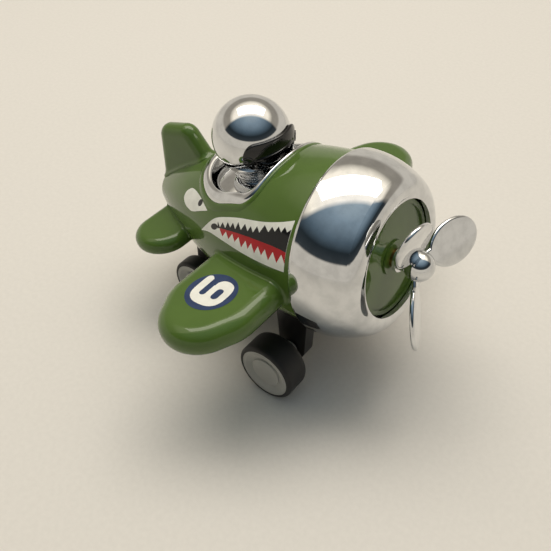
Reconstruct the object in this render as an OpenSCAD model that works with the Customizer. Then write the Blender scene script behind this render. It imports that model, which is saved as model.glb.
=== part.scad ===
// Push-and-go toy airplane with a tubby fuselage, a plated cowl, a helmeted
// pilot and a friction motor geared to the rear axle. Millimetres.
// World frame: +X forward, +Y to the pilot's left, +Z up, wheels on Z = 0.
// Hull frame: origin at the centre of the firewall, X along the thrust line.

/* [Stance] */
// Nose-up angle of the thrust line above level
pitch = 10; // [8:0.5:12]
// Distance from the origin forward to the centre of the firewall
firewall_x = 17.9; // [15:0.1:21]
// Height of the centre of the firewall above the ground
firewall_z = 39.1; // [38.5:0.1:40.5]

/* [Fuselage] */
// Radius of the fuselage at the firewall
shell_r = 23.6; // [23:0.1:24.4]
// Radius of the arc that the fuselage follows from nose to tail
shell_arc = 122; // [112:1:132]
// Distance from the firewall back to the centre of the round tail end
tail_station = 60; // [58:0.5:63]
// Wall of the fuselage shell
shell_wall = 1.8; // [1.4:0.1:2.2]
// Length of the spigot that centres the cowl
spigot_len = 4; // [3:0.5:6]
// Wall of that spigot
spigot_wall = 1.6; // [1.2:0.1:2]

// Level of the seam between the upper shell and the belly pan, below the thrust line
seam_drop = 11.5; // [11:0.1:12.5]

/* [Cowl and nose] */
// Radius of the barrel of the cowl
cowl_r = 24.9; // [24.6:0.1:25.4]
// Length of the cowl in front of the firewall
cowl_len = 16.6; // [15.5:0.1:18]
// Distance from the firewall forward to the widest ring of the cowl
cowl_mid = 1; // [0.6:0.1:2]
// Wall of the cowl
cowl_wall = 2.4; // [2:0.1:2.8]
// Radius of the rolled front lip
lip_r = 5.2; // [4.6:0.1:5.6]
// Radius that breaks the rear edge of the cowl
rear_edge_r = 1.2; // [0.6:0.1:1.6]
// Radius of the nose opening
nose_r = 15.6; // [14.8:0.1:16]
// Gap round the nose disc
nose_gap = 0.35; // [0.2:0.05:0.6]
// Depth of the nose disc behind the lip
nose_recess = 1.6; // [1:0.1:2.4]
// Width of the raised rim of the nose disc
nose_rim = 1.1; // [0.8:0.1:1.6]
// Width of the ledge by which the nose disc sits behind the lip
nose_ledge = 2.2; // [1.4:0.1:2.8]

/* [Propeller] */
// Radius of the propeller shaft
shaft_r = 1; // [0.8:0.05:1.2]
// Radial clearance of the shaft in its bush
shaft_clear = 0.06; // [0.03:0.01:0.1]
// Outer radius of the bush
bush_r = 2.5; // [2:0.1:3]
// Play between the bush and what turns in front of and behind it
end_play = 0.35; // [0.3:0.05:0.5]
// Radius of the thrust washer
washer_r = 3.2; // [2.8:0.1:3.6]
// Thickness of the thrust washer
washer_t = 0.9; // [0.6:0.1:1.2]
// Radius of the spinner ball
ball_r = 4; // [3.6:0.1:4.4]
// Distance from the front lip of the cowl forward to the centre of the ball
ball_ahead = 5.3; // [5:0.1:6.5]
// Distance from the axis to the middle of a blade, along the blade
blade_mid = 13.25; // [12.5:0.25:14]
// Length of the oval of a blade
blade_len = 16.5; // [15:0.5:17.5]
// Width of the oval of a blade
blade_w = 12.3; // [11:0.1:13]
// Thickness of a blade
blade_t = 1.2; // [1:0.1:1.6]
// Angle by which the blades lean forward
blade_cone = 15.8; // [14:0.2:18]
// Angle by which each blade is turned about its own length
blade_pitch = 17.4; // [12:0.2:20]
// Width of the neck of a blade
neck_w = 3.2; // [2.6:0.1:3.8]
// Radius of the barrel behind the ball
hub_r = 2.6; // [2.2:0.1:3]

/* [Wing] */
// Distance from the firewall back to the middle of the wing
wing_station = 15.6; // [14.5:0.1:16.5]
// Height of the middle plane of the wing above the thrust line
wing_z = -2.7; // [-3.5:0.1:-2]
// Chord of the wing
wing_chord = 26.5; // [25:0.1:27.5]
// Half of the wing span
wing_half = 50.6; // [48:0.2:54]
// Thickness of the wing
wing_t = 8; // [7:0.1:8.6]
// Radius of the small round at each wing tip
wing_tip_r = 11.2; // [10:0.1:12]
// Distance from the tip in to the start of the taper
wing_taper = 15.6; // [14.5:0.1:17]

/* [Tail] */
// Distance from the centre of the round tail end forward to the middle of the tailplane
stab_ahead = 6.5; // [5.5:0.1:7]
// Height of the middle plane of the tailplane above the thrust line
stab_z = -4.4; // [-4.8:0.1:-4]
// Chord of the tailplane
stab_chord = 17; // [16:0.1:18]
// Half of the tailplane span
stab_half = 25; // [23:0.2:27]
// Thickness of the tailplane
stab_t = 5.4; // [4.8:0.1:5.8]
// Thickness of the fin
fin_t = 5.4; // [4.4:0.1:6]
// Height of the top of the fin above the thrust line
fin_top = 23.4; // [22:0.1:25]

/* [Cockpit and pilot] */
// Distance from the firewall back to the middle of the cockpit
cockpit_station = 26; // [25.6:0.1:26.6]
// Radius of the round cockpit opening
cockpit_r = 15; // [14.4:0.1:15.2]
// Wall of the cockpit tub
tub_wall = 1; // [0.8:0.1:1.3]
// Height by which the tub's edge stands proud of the fuselage
tub_proud = 0.35; // [0.2:0.05:0.6]
// Height of the tub floor above the thrust line
tub_floor = 8.5; // [8:0.1:9]
// Width of the chrome rim round the opening
rim_w = 2.3; // [2:0.1:2.5]
// Radius by which the wall of the tub runs into its floor
tub_cove = 1; // [0.6:0.1:1]
// Distance of the pilot behind the middle of the cockpit
pilot_back = 1; // [0.5:0.1:1.4]
// Radius of the bust where it stands on the floor
bust_r = 10.6; // [10:0.1:10.6]
// Height of the shoulders above the floor
bust_h = 5.9; // [5.4:0.1:6.2]
// Radius of the rounding of the shoulders
shoulder_r = 4; // [3.4:0.1:4.6]
// Radius of the neck
neck_r = 4.2; // [3.8:0.1:4.6]
// Thickness of the rolled collar
collar_t = 1.7; // [1.4:0.1:2]
// Radius of the helmet
helmet_r = 10.2; // [9.6:0.1:10.8]
// Height of the centre of the helmet above the thrust line
helmet_z = 24.7; // [24.3:0.1:25.2]
// Thickness of the visor
visor_t = 0.55; // [0.4:0.05:0.8]
// Radius of the visor's pivot studs
pivot_r = 1.3; // [1:0.1:1.4]
// Angle from straight ahead round to each pivot stud
pivot_turn = 57; // [54:1:60]
// Angle of the pivot studs below level
pivot_dip = 8; // [4:1:12]

/* [Wheels] */
// Radius of the front tyres
front_tyre_r = 8.8; // [8.5:0.1:9.2]
// Width of the front tyres
front_tyre_w = 8.6; // [7.6:0.1:9.2]
// Distance from the middle to the outer face of the front wheels
front_half = 29; // [28:0.1:30]
// Distance from the firewall back to the front axle
front_axle_back = 4.5; // [4:0.1:5]
// Radius of the rear tyres
rear_tyre_r = 8; // [7.6:0.1:8.4]
// Width of the rear tyres
rear_tyre_w = 6.2; // [5.6:0.1:6.6]
// Distance from the middle to the outer face of the rear wheels
rear_half = 15.2; // [15:0.1:16.5]
// Distance between the axles
wheelbase = 38.7; // [38:0.1:40]
// Radius of both axles
axle_r = 1; // [0.8:0.05:1.1]
// Radial clearance of the axles in the base and in the motor frame
axle_clear = 0.06; // [0.03:0.01:0.1]
// Side play of the wheels against the base
wheel_play = 0.4; // [0.3:0.05:0.6]
// Share of the wheel radius that the tyre band takes, seen from the side
band_share = 0.14; // [0.12:0.01:0.18]

/* [Base] */
// Distance from the middle to the outer face of each leg
leg_half = 16.5; // [16:0.1:17]
// Thickness of each leg
leg_t = 4; // [3.4:0.1:4.6]
// Radius of the round foot of each leg about the front axle
leg_r = 4.3; // [3.6:0.1:4.8]
// Half width of the motor box between the rear wheels
box_half = 7.5; // [7.4:0.05:7.9]
// Distance from the rear axle back to the end of the motor box
box_back = 6; // [5.8:0.1:6.4]
// Height of the underside of the motor box above the ground
box_clear = 1.8; // [1.5:0.05:1.9]
// Wall of the motor box
box_wall = 1.1; // [0.9:0.05:1.15]
// Bevel along the lower edges of the motor box
box_bevel = 2; // [1:0.1:2.4]
// Gap between the base and the openings of the upper shell
belly_gap = 0.1; // [0.05:0.05:0.25]
// Distance by which the rim of the motor box reaches inside the shell
rim_tuck = 1; // [0.6:0.1:1.2]

/* [Screws] */
// Radius of the screw shanks
screw_r = 0.8; // [0.7:0.05:0.95]
// Radius of the screw heads
screw_head_r = 1.6; // [1.4:0.1:1.7]
// Radius of the screw posts and bosses
post_r = 2.3; // [2.2:0.1:2.4]
// Distance from the level of the firewall's centre down to the top of the screw posts
post_drop = 17.1; // [16.2:0.1:17.6]
// Distance from the top of the screw posts down to the seat of the screw heads
head_drop = 2.5; // [2:0.1:3]
// Distance from the middle to the two front screws
screw_half = 11; // [10.4:0.1:11.6]
// Depth by which the screws reach into the bosses
screw_bite = 6; // [4:0.5:7]

/* [Friction motor] */
// Gear module
gear_m = 0.4; // [0.38:0.01:0.4]
// Teeth of the gear on the rear axle
axle_teeth = 22; // [21:1:22]
// Teeth of both pinions
pinion_teeth = 8; // [8:1:9]
// Teeth of the large idler gear
idler_teeth = 20; // [19:1:20]
// Width of the gear rims
gear_w = 2; // [1.6:0.1:2.1]
// Distance from the middle to the row of the axle gear
row_a = 2.5; // [2.4:0.1:2.7]
// Distance from the middle to the row of the large idler gear
row_b = 0.1; // [0:0.1:0.2]
// Angle above level of the line from the rear axle to the idler
idler_angle = 35; // [32:1:38]
// Angle above level of the line from the idler to the flywheel
flywheel_angle = 25; // [20:1:28]
// Radius of the idler and flywheel shafts
pin_r = 0.75; // [0.65:0.05:0.8]
// Radial clearance of those shafts in the frame
pin_clear = 0.04; // [0.03:0.01:0.08]
// Distance from the middle to the inner face of each side plate
frame_half = 5.2; // [5.1:0.05:5.3]
// Thickness of the side plates
frame_t = 0.9; // [0.7:0.05:0.95]
// Radius of the flywheel
flywheel_r = 4.4; // [4:0.1:4.5]
// Width of the flywheel
flywheel_w = 3.4; // [2.8:0.1:3.5]

/* [Hidden] */
$fn = 72;

// Colours as they show on the toy
green = "#4d6b32";
plated = "#d4d6d8";
black = "#1c1c1e";
grey = "#8d8d88";
steel = "#a9adb2";
brass = "#b9974a";

// The fuselage follows one arc and ends in a ball that the arc touches
arc_drop = shell_arc - shell_r;
tail_r = shell_arc - sqrt(pow(tail_station, 2) + pow(arc_drop, 2));
function hull_r(back) = sqrt(pow(shell_arc, 2) - pow(back, 2)) - arc_drop;
stab_station = tail_station - stab_ahead;
pilot_station = cockpit_station + pilot_back;

// Height above the ground of the belly at a place (x, y) of the world frame
function belly_z(x, y, z = 18, n = 6) = n == 0 ? z :
    belly_z(x, y, belly_step(y, (x - firewall_x) * cos(pitch) + (z - firewall_z) * sin(pitch)), n - 1);
function belly_step(y, s) = firewall_z + s * sin(pitch)
    - cos(pitch) * sqrt(max(1, pow(hull_r(s), 2) - y * y));

// Height above the ground of a level of the hull frame over a place x
function level_z(x, h) = firewall_z + (x - firewall_x) * tan(pitch) + h / cos(pitch);

// Cowl: the lip rolls over inside the barrel and touches it
lip_x = cowl_len - lip_r;
lip_ring = sqrt(pow(cowl_r - lip_r, 2) - pow(lip_x - cowl_mid, 2));
lip_join = cowl_mid + (lip_x - cowl_mid) * cowl_r / (cowl_r - lip_r);
cavity_r = cowl_r - cowl_wall;
spigot_r = sqrt(pow(cavity_r, 2) - pow(max(spigot_len - cowl_mid, cowl_mid), 2)) - 0.1;

// Nose
disc_face = cowl_len - nose_recess;
disc_back = lip_x - 1.6;
bush_front = disc_face + 0.7;
bush_back = disc_back - 1.4;
washer_x = bush_front + end_play;
hub_back = washer_x + washer_t;
ball_x = cowl_len + ball_ahead;
blade_root_x = ball_x - 0.3 * ball_r;
cap_x = ball_x + 0.3 * ball_r;
shaft_back = bush_back - end_play - 1.6;

// Axles
front_x = firewall_x - front_axle_back;
rear_x = front_x - wheelbase;
front_hub_r = front_tyre_r * (1 - band_share);
rear_hub_r = rear_tyre_r * (1 - band_share);

// Gear train, all in the plane of the side plates
pressure = 28;
backlash = 0.1;
r_axle_gear = gear_m * axle_teeth / 2;
r_pinion = gear_m * pinion_teeth / 2;
r_idler = gear_m * idler_teeth / 2;
idler_c = [rear_x + (r_axle_gear + r_pinion) * cos(idler_angle),
    rear_tyre_r + (r_axle_gear + r_pinion) * sin(idler_angle)];
flywheel_c = [idler_c[0] + (r_idler + r_pinion) * cos(flywheel_angle),
    idler_c[1] + (r_idler + r_pinion) * sin(flywheel_angle)];

// The flywheel runs beside the large idler gear
flywheel_face = row_b - gear_w / 2 - 0.4;

// Motor box
box_x0 = rear_x - box_back;
box_x1 = flywheel_c[0] + flywheel_r + box_wall + 0.9;
box_floor = box_clear + box_wall;
box_corner = 1;
rim_front = belly_z(box_x1, box_half) + rim_tuck;
rim_back = belly_z(box_x0, box_half) + rim_tuck;

// Screws, all into the wing from below
post_top = firewall_z - post_drop;
head_seat = post_top - head_drop;
front_screw_x = firewall_x - wing_station + 1.5;
rear_screw_x = box_x1 + post_r + 1.8;
screw_spots = [[front_screw_x, screw_half], [front_screw_x, -screw_half], [rear_screw_x, 0]];

// Moves children from the hull frame into the world frame
module hull_frame() {
    translate([firewall_x, 0, firewall_z]) rotate([0, -pitch, 0]) children();
}

// Revolves a profile drawn as (radius, station) about the thrust line
module revolve_x() {
    rotate([0, 90, 0]) rotate_extrude() children();
}

// Revolves a profile drawn as (radius, distance) about a crosswise axle
module revolve_y() {
    rotate([-90, 0, 0]) rotate_extrude() children();
}

// A rod along the thrust line from station x0 to x1
module rod_x(r, x0, x1) {
    translate([x0, 0, 0]) rotate([0, 90, 0]) cylinder(r = r, h = x1 - x0);
}

// A rod across the toy from y0 to y1
module rod_y(r, y0, y1) {
    translate([0, y0, 0]) rotate([-90, 0, 0]) cylinder(r = r, h = y1 - y0);
}

// Extrudes a side view drawn as (x, z) from y0 to y1
module side_view(y0, y1) {
    translate([0, y1, 0]) rotate([90, 0, 0]) linear_extrude(y1 - y0) children();
}

// A disc lying flat with a fully rounded rim
module soft_disc(r, t, fn = 40) {
    edge = min(t / 2, r) * 0.96;
    rotate_extrude($fn = fn) {
        square([r - edge, t / 2]);
        translate([0, -t / 2]) square([r - edge, t / 2]);
        translate([r - edge, edge - t / 2]) intersection() {
            circle(r = edge, $fn = 24);
            translate([0, -edge]) square([edge, 2 * edge]);
        }
        translate([r - edge, edge - t / 2]) square([edge, t - 2 * edge]);
    }
}

// Side view of a flat surface of the given chord, as a rounded slab
module slab_section(chord, t, gap = 0) {
    edge = t / 2 * 0.96;
    for (sx = [-1, 1])
        for (sz = [-1, 1])
            translate([sx * (chord / 2 - edge), sz * (t / 2 - edge)]) circle(r = edge + gap);
    square([chord - 2 * edge, t + 2 * gap], center = true);
    square([chord + 2 * gap, t - 2 * edge], center = true);
}

// Outer form of the fuselage, grown by the given amount
module hull_form(grow = 0) {
    join = tail_station * (shell_arc + grow) / (shell_arc - tail_r);
    revolve_x() {
        intersection() {
            translate([-arc_drop, 0]) circle(r = shell_arc + grow, $fn = 360);
            translate([0, -join]) square([2 * shell_r, join]);
        }
        intersection() {
            // The ball stands a hair proud of the arc, so that the two meet in a clean edge
            translate([0, -tail_station]) circle(r = tail_r + grow + 0.01);
            translate([0, -2 * tail_station]) square([shell_r, 2 * tail_station - join + 0.4]);
        }
    }
}

// Fin, drawn in side view by its four round corners
module fin_form() {
    top_r = 4;
    corners = [[-tail_station + 8, fin_top - top_r], [-tail_station + 1.6, fin_top - top_r - 1],
        [-tail_station - 1.4, 3], [-tail_station + 14, 10.5]];
    hull()
        for (c = corners)
            translate([c[0], 0, c[1]]) rotate([90, 0, 0]) soft_disc(top_r, fin_t, 32);
}

// Plan view of the motor box
module box_plan(inset = 0) {
    h = box_half - inset;
    c = box_corner;
    x1 = box_x1 - inset;
    x0 = box_x0 + inset;
    polygon([[x1 - c, h], [x1, h - c], [x1, c - h], [x1 - c, -h], [x0 + c, -h], [x0, c - h], [x0, h - c],
        [x0 + c, h]]);
}

// Block of the motor box between its floor and its sloping rim
module box_block(inset = 0, top = 0) {
    z0 = box_clear + inset;
    b = box_bevel;
    h = box_half - inset;
    intersection() {
        translate([0, 0, z0]) linear_extrude(firewall_z) box_plan(inset);
        side_view(-box_half, box_half)
            polygon([[box_x0 + b + inset, z0], [box_x1 - b - inset, z0], [box_x1 - inset, z0 + b],
                [box_x1 - inset, rim_front + top], [box_x0 + inset, rim_back + top],
                [box_x0 + inset, z0 + b]]);
        rotate([90, 0, 90]) translate([0, 0, box_x0 - 1]) linear_extrude(box_x1 - box_x0 + 2)
            polygon([[b / 2 - h, z0], [h - b / 2, z0], [h, z0 + b / 2], [h, firewall_z], [-h, firewall_z],
                [-h, z0 + b / 2]]);
    }
}

// Wall of the fuselage with the spigot for the cowl, open to the front
module hull_wall() {
    difference() {
        union() {
            hull_form();
            rod_x(spigot_r, -1, spigot_len);
        }
        hull_hollow();
        rod_x(spigot_r - spigot_wall, -6, spigot_len + 1);
    }
}

// Space inside the fuselage
module hull_hollow() {
    intersection() {
        hull_form(-shell_wall);
        translate([-tail_station + 6, -60, -60]) cube([120, 120, 120]);
    }
}

module fuselage_shell() {
    color(green) difference() {
        hull_frame() difference() {
            union() {
                hull_wall();
                difference() {
                    fin_form();
                    hull_hollow();
                }
            }
            // Everything under the seam belongs to the belly pan
            translate([-120, -60, -120 - seam_drop]) cube([240, 120, 120]);
            // Cockpit opening
            translate([-cockpit_station, 0, 0]) cylinder(r = cockpit_r, h = 60);
            // Slots for the wing and the tailplane
            translate([-wing_station, 0, wing_z]) side_view(-60, 60) slab_section(wing_chord, wing_t);
            translate([-stab_station, 0, stab_z]) side_view(-60, 60) slab_section(stab_chord, stab_t);
        }
        // Notch for the rear of the motor box
        linear_extrude(max(rim_front, rim_back) + 0.6) box_plan(-belly_gap);
    }
}

// A boss that hangs from a flat surface down to the top of a screw post
module hanging_boss(spot, level) {
    translate([spot[0], spot[1], post_top])
        cylinder(r = post_r, h = level_z(spot[0], level) - post_top);
}

module wing() {
    color(green) difference() {
        union() {
            hull_frame() translate([-wing_station, 0, wing_z]) hull()
                for (s = [-1, 1]) {
                    translate([0, s * (wing_half - wing_taper), 0]) soft_disc(wing_chord / 2, wing_t, 64);
                    translate([0, s * (wing_half - wing_tip_r), 0]) soft_disc(wing_tip_r, wing_t, 64);
                }
            for (p = screw_spots) hanging_boss(p, wing_z);
        }
        for (p = screw_spots)
            translate([p[0], p[1], post_top - 1]) cylinder(r = screw_r, h = screw_bite + 1.5);
    }
}

module tailplane() {
    color(green) hull_frame() translate([-stab_station, 0, stab_z]) hull()
        for (s = [-1, 1])
            translate([0, s * (stab_half - stab_chord / 2), 0]) soft_disc(stab_chord / 2, stab_t, 56);
}

module cowl_ring() {
    color(plated) hull_frame() revolve_x() difference() {
        union() {
            // Barrel, cut where the lip takes over
            intersection() {
                translate([0, cowl_mid]) circle(r = cowl_r, $fn = 180);
                translate([0, rear_edge_r]) square([2 * cowl_r, lip_join - rear_edge_r]);
            }
            translate([lip_ring, lip_x]) circle(r = lip_r);
            // Broken rear edge
            translate([sqrt(pow(cowl_r, 2) - pow(rear_edge_r - cowl_mid, 2)) - rear_edge_r, rear_edge_r])
                circle(r = rear_edge_r);
            translate([cavity_r - 2, 0]) square([cowl_r - rear_edge_r - cavity_r + 2, 2 * rear_edge_r]);
        }
        // Cavity behind the lip
        intersection() {
            translate([0, cowl_mid]) circle(r = cavity_r, $fn = 180);
            translate([-1, -1]) square([2 * cowl_r, lip_x + 1]);
        }
        // Nose opening
        translate([-1, -1]) square([nose_r + 1, cowl_len + 2]);
        // Nothing reaches behind the firewall or across the axis
        translate([-60, -60]) square([60, 120]);
        translate([-1, -60]) square([60, 60]);
    }
}

module nose_disc() {
    face_r = nose_r - nose_gap;
    color(green) hull_frame() revolve_x() difference() {
        union() {
            translate([0, disc_back]) square([nose_r + nose_ledge, lip_x - disc_back]);
            translate([0, disc_back]) square([face_r, disc_face - disc_back]);
        }
        translate([-1, disc_back - 1]) square([bush_r + 1, disc_face - disc_back + 2]);
        // Shallow dish inside the rim
        translate([bush_r + 2.2, disc_face - 0.5]) square([face_r - nose_rim - bush_r - 2.2, 1]);
    }
}

module prop_bush() {
    color(brass) hull_frame() difference() {
        rod_x(bush_r, bush_back, bush_front);
        rod_x(shaft_r + shaft_clear, bush_back - 1, bush_front + 1);
    }
}

module prop_shaft() {
    color(steel) hull_frame() rod_x(shaft_r, shaft_back, ball_x);
}

module shaft_clip() {
    color(steel) hull_frame() difference() {
        rod_x(bush_r, bush_back - end_play - 0.9, bush_back - end_play);
        rod_x(shaft_r, shaft_back - 1, bush_back);
    }
}

module thrust_washer() {
    color(plated) hull_frame() difference() {
        rod_x(washer_r, washer_x, washer_x + washer_t);
        rod_x(shaft_r, washer_x - 1, washer_x + washer_t + 1);
    }
}

// Oval of four arcs that run into each other, with its length along +Y
module oval(long, wide) {
    end_r = 0.3 * long;
    reach = long / 2 - end_r;
    half = wide / 2;
    // Radius of the long sides, whose arcs touch the ends from outside
    side_r = (pow(reach, 2) + pow(half, 2) - pow(end_r, 2)) / (2 * (half - end_r));
    join = reach * side_r / (side_r - end_r);
    intersection() {
        translate([half - side_r, 0]) circle(r = side_r, $fn = 120);
        translate([side_r - half, 0]) circle(r = side_r, $fn = 120);
        square([2 * half, 2 * join], center = true);
    }
    for (s = [-1, 1])
        translate([0, s * reach]) intersection() {
            circle(r = end_r);
            translate([-end_r, s * (join - reach) - (s < 0 ? end_r : 0)]) square([2 * end_r, end_r]);
        }
}

// One blade pointing along +Y before it leans and turns
module blade() {
    translate([blade_root_x, 0, 0]) rotate([0, 0, -blade_cone]) rotate([0, -blade_pitch, 0]) {
        translate([-blade_t / 2, blade_mid, 0]) rotate([0, 90, 0])
            linear_extrude(blade_t) oval(blade_len, blade_w);
        translate([-blade_t / 2, 1.5, -neck_w / 2])
            cube([blade_t, blade_mid - blade_len / 2 + 1.5, neck_w]);
    }
}

module propeller() {
    color(plated) hull_frame() difference() {
        union() {
            rod_x(hub_r, hub_back, ball_x);
            intersection() {
                translate([ball_x, 0, 0]) sphere(r = ball_r);
                translate([ball_x - 2 * ball_r, -ball_r, -ball_r])
                    cube([cap_x - ball_x + 2 * ball_r, 2 * ball_r, 2 * ball_r]);
            }
            for (k = [0:2]) rotate([120 * k, 0, 0]) blade();
        }
        rod_x(shaft_r, hub_back - 1, ball_x);
        // Socket for the cap's stub
        rod_x(ball_r / 2, cap_x - 1, cap_x + 1);
    }
}

module spinner_cap() {
    color(plated) hull_frame() revolve_x() {
        intersection() {
            translate([0, ball_x]) circle(r = ball_r);
            translate([0, cap_x]) square([ball_r, ball_r]);
        }
        translate([0, cap_x - 1]) square([ball_r / 2, 1.5]);
    }
}

module cockpit_tub() {
    inner = cockpit_r - rim_w;
    color(plated) hull_frame() intersection() {
        translate([-cockpit_station, 0, 0]) rotate_extrude() difference() {
            translate([0, tub_floor - tub_wall]) square([cockpit_r, 30]);
            translate([0, tub_floor]) square([inner - tub_cove, 40]);
            translate([0, tub_floor + tub_cove]) square([inner, 40]);
            translate([inner - tub_cove, tub_floor + tub_cove]) circle(r = tub_cove);
        }
        hull_form(tub_proud);
    }
}

module pilot_bust() {
    seat = helmet_seat();
    color(plated) hull_frame() translate([-pilot_station, 0, 0]) rotate_extrude() {
        translate([0, tub_floor]) square([bust_r, bust_h - shoulder_r]);
        translate([0, tub_floor]) square([bust_r - shoulder_r, bust_h]);
        intersection() {
            translate([bust_r - shoulder_r, tub_floor + bust_h - shoulder_r]) circle(r = shoulder_r);
            translate([bust_r - shoulder_r, tub_floor + bust_h - shoulder_r]) square(shoulder_r);
        }
        translate([0, tub_floor]) square([neck_r, seat - tub_floor]);
        translate([neck_r + 0.3, seat - collar_t / 2]) circle(d = collar_t);
        translate([0, seat - collar_t]) square([neck_r + 0.3, collar_t]);
    }
}

// The helmet is cut flat where it sits on the collar
function helmet_seat() = helmet_z - sqrt(pow(helmet_r, 2) - pow(neck_r + 0.6, 2));

module at_helmet() {
    hull_frame() translate([-pilot_station, 0, helmet_z]) children();
}

// The pivot studs of the visor, each along the direction in which it points
module studs(r, from, to) {
    for (s = [-1, 1])
        rotate([0, 0, s * pivot_turn]) rotate([0, 90 + pivot_dip, 0]) translate([0, 0, from])
            cylinder(r = r, h = to - from);
}

module pilot_helmet() {
    color(plated) at_helmet() difference() {
        sphere(r = helmet_r);
        translate([-20, -20, helmet_seat() - helmet_z - 40]) cube(40);
        studs(pivot_r, helmet_r - 1.2, helmet_r + 2);
    }
}

// Side view of the visor: it ends behind in a rounded upper corner
module visor_view() {
    back = 0.4 * helmet_r;
    top = 0.28 * helmet_r;
    round = 0.28 * helmet_r;
    translate([back + round, top - round]) circle(r = round);
    translate([back + round, -helmet_r]) square([2 * helmet_r, helmet_r + top]);
    translate([back, -helmet_r]) square([2 * helmet_r, helmet_r + top - round]);
}

module pilot_visor() {
    color(black) at_helmet() intersection() {
        difference() {
            sphere(r = helmet_r + visor_t);
            sphere(r = helmet_r);
            studs(pivot_r, helmet_r - 1.2, helmet_r + 2);
        }
        side_view(-20, 20) visor_view();
        translate([-20, -20, 0.3 + helmet_seat() - helmet_z]) cube(40);
    }
}

module visor_pivots() {
    color(black) at_helmet() studs(pivot_r, helmet_r - 1.2, helmet_r + visor_t + 0.3);
}

// Side view of a leg with its round foot about the front axle
module leg_view() {
    top = belly_z(front_x, leg_half) + 1.5;
    translate([front_x, front_tyre_r]) circle(r = leg_r);
    polygon([[front_x - leg_r, front_tyre_r], [front_x + leg_r, front_tyre_r],
        [front_x + leg_r + 0.6, top], [front_x - leg_r - 1.4, top]]);
}

module chassis_base() {
    color(black) difference() {
        union() {
            // Belly pan
            hull_frame() intersection() {
                hull_wall();
                translate([-120, -60, -120 - seam_drop]) cube([240, 120, 120]);
            }
            box_block();
            // Legs, as far up as the inside of the pan
            difference() {
                for (s = [-1, 1])
                    side_view(s * leg_half - (s > 0 ? leg_t : 0), s * leg_half + (s < 0 ? leg_t : 0)) leg_view();
                hull_frame() hull_hollow();
            }
            // Screw posts
            intersection() {
                for (p = screw_spots)
                    translate([p[0], p[1], 0]) cylinder(r = post_r, h = post_top);
                hull_frame() hull_form();
            }
        }
        box_block(box_wall, 30);
        for (p = screw_spots) {
            translate([p[0], p[1], 0]) cylinder(r = screw_head_r + 0.2, h = head_seat);
            translate([p[0], p[1], 0]) cylinder(r = screw_r + 0.1, h = post_top + 1);
        }
        // Bores for both axles
        translate([front_x, 0, front_tyre_r]) rod_y(axle_r + axle_clear, -leg_half - 1, leg_half + 1);
        translate([rear_x, 0, rear_tyre_r]) rod_y(axle_r + axle_clear, -box_half - 1, box_half + 1);
    }
}

module base_screws() {
    color(steel)
        for (p = screw_spots)
            translate([p[0], p[1], 0]) difference() {
                union() {
                    translate([0, 0, head_seat - 1.4]) cylinder(r = screw_head_r, h = 1.4);
                    translate([0, 0, head_seat - 0.2]) cylinder(r = screw_r, h = post_top + screw_bite - head_seat + 0.2);
                }
                // Cross recess
                for (a = [0, 90])
                    rotate([0, 0, a]) translate([-0.9, -0.2, head_seat - 2]) cube([1.8, 0.4, 1.3]);
            }
}

// Involute of a gear's tooth flank, as an angle at a given radius
function involute(a) = tan(a) - a * PI / 180;
function flank(rb, half, r) = half - involute(acos(min(1, rb / r))) * 180 / PI;

// Toothed wheel with the middle of one tooth on +X of the drawing
module gear_view(teeth) {
    r = gear_m * teeth / 2;
    rb = r * cos(pressure);
    tip = r + 0.9 * gear_m;
    root = r - 1.2 * gear_m;
    half = 90 / teeth - backlash / 2 / r * 180 / PI + involute(pressure) * 180 / PI;
    start = max(rb, root);
    steps = 4;
    radii = [for (i = [0:steps]) start + (tip - start) * i / steps];
    polygon([for (k = [0:teeth - 1]) each concat(
        [[root * cos(k * 360 / teeth - flank(rb, half, start)), root * sin(k * 360 / teeth - flank(rb, half, start))]],
        [for (i = [0:steps]) let (a = k * 360 / teeth - flank(rb, half, radii[i])) radii[i] * [cos(a), sin(a)]],
        [for (i = [steps:-1:0]) let (a = k * 360 / teeth + flank(rb, half, radii[i])) radii[i] * [cos(a), sin(a)]],
        [[root * cos(k * 360 / teeth + flank(rb, half, start)), root * sin(k * 360 / teeth + flank(rb, half, start))]])]);
}

// A gear about a crosswise shaft, turned so that a tooth points at an angle
module gear(teeth, angle, y0, y1) {
    side_view(y0, y1) rotate(angle) gear_view(teeth);
}

// Side plate of the motor frame, resting on the bevel inside the box
module plate_view() {
    gap = box_wall + max(0.4, frame_half + frame_t + box_corner - (box_half - box_wall) + 0.05);
    x1 = box_x1 - gap;
    x0 = box_x0 + gap;
    foot = box_floor + max(0, frame_half + frame_t - (box_half - box_wall - box_bevel / 2)) + 0.05;
    top = flywheel_c[1] + 3.4;
    difference() {
        polygon([[x0 + box_bevel, foot], [x1 - box_bevel, foot], [x1, foot + box_bevel],
            [x1, top - 2], [x1 - 2, top], [flywheel_c[0] - 3, top],
            [rear_x - 2.4, rear_tyre_r + r_axle_gear + 3.2], [x0, rear_tyre_r + 4], [x0, foot + box_bevel]]);
        translate([rear_x, rear_tyre_r]) circle(r = axle_r + axle_clear);
        translate(idler_c) circle(r = pin_r + pin_clear);
        translate(flywheel_c) circle(r = pin_r + pin_clear);
    }
}

module motor_frame() {
    // Pillars clear of every gear and of the flywheel
    pillars = [[flywheel_c[0] - 2, box_floor + 1.4], [flywheel_c[0] + 3.2, box_floor + 2.8],
        [rear_x - 1, rear_tyre_r + r_axle_gear + 2]];
    color(steel) {
        side_view(frame_half, frame_half + frame_t) plate_view();
        side_view(-frame_half - frame_t, -frame_half) plate_view();
        for (p = pillars)
            translate([p[0], 0, p[1]]) rod_y(0.7, -frame_half, frame_half);
    }
}

module front_axle() {
    reach = front_half - 2.4;
    color(steel) translate([front_x, 0, front_tyre_r]) rod_y(axle_r, -reach, reach);
}

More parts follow.
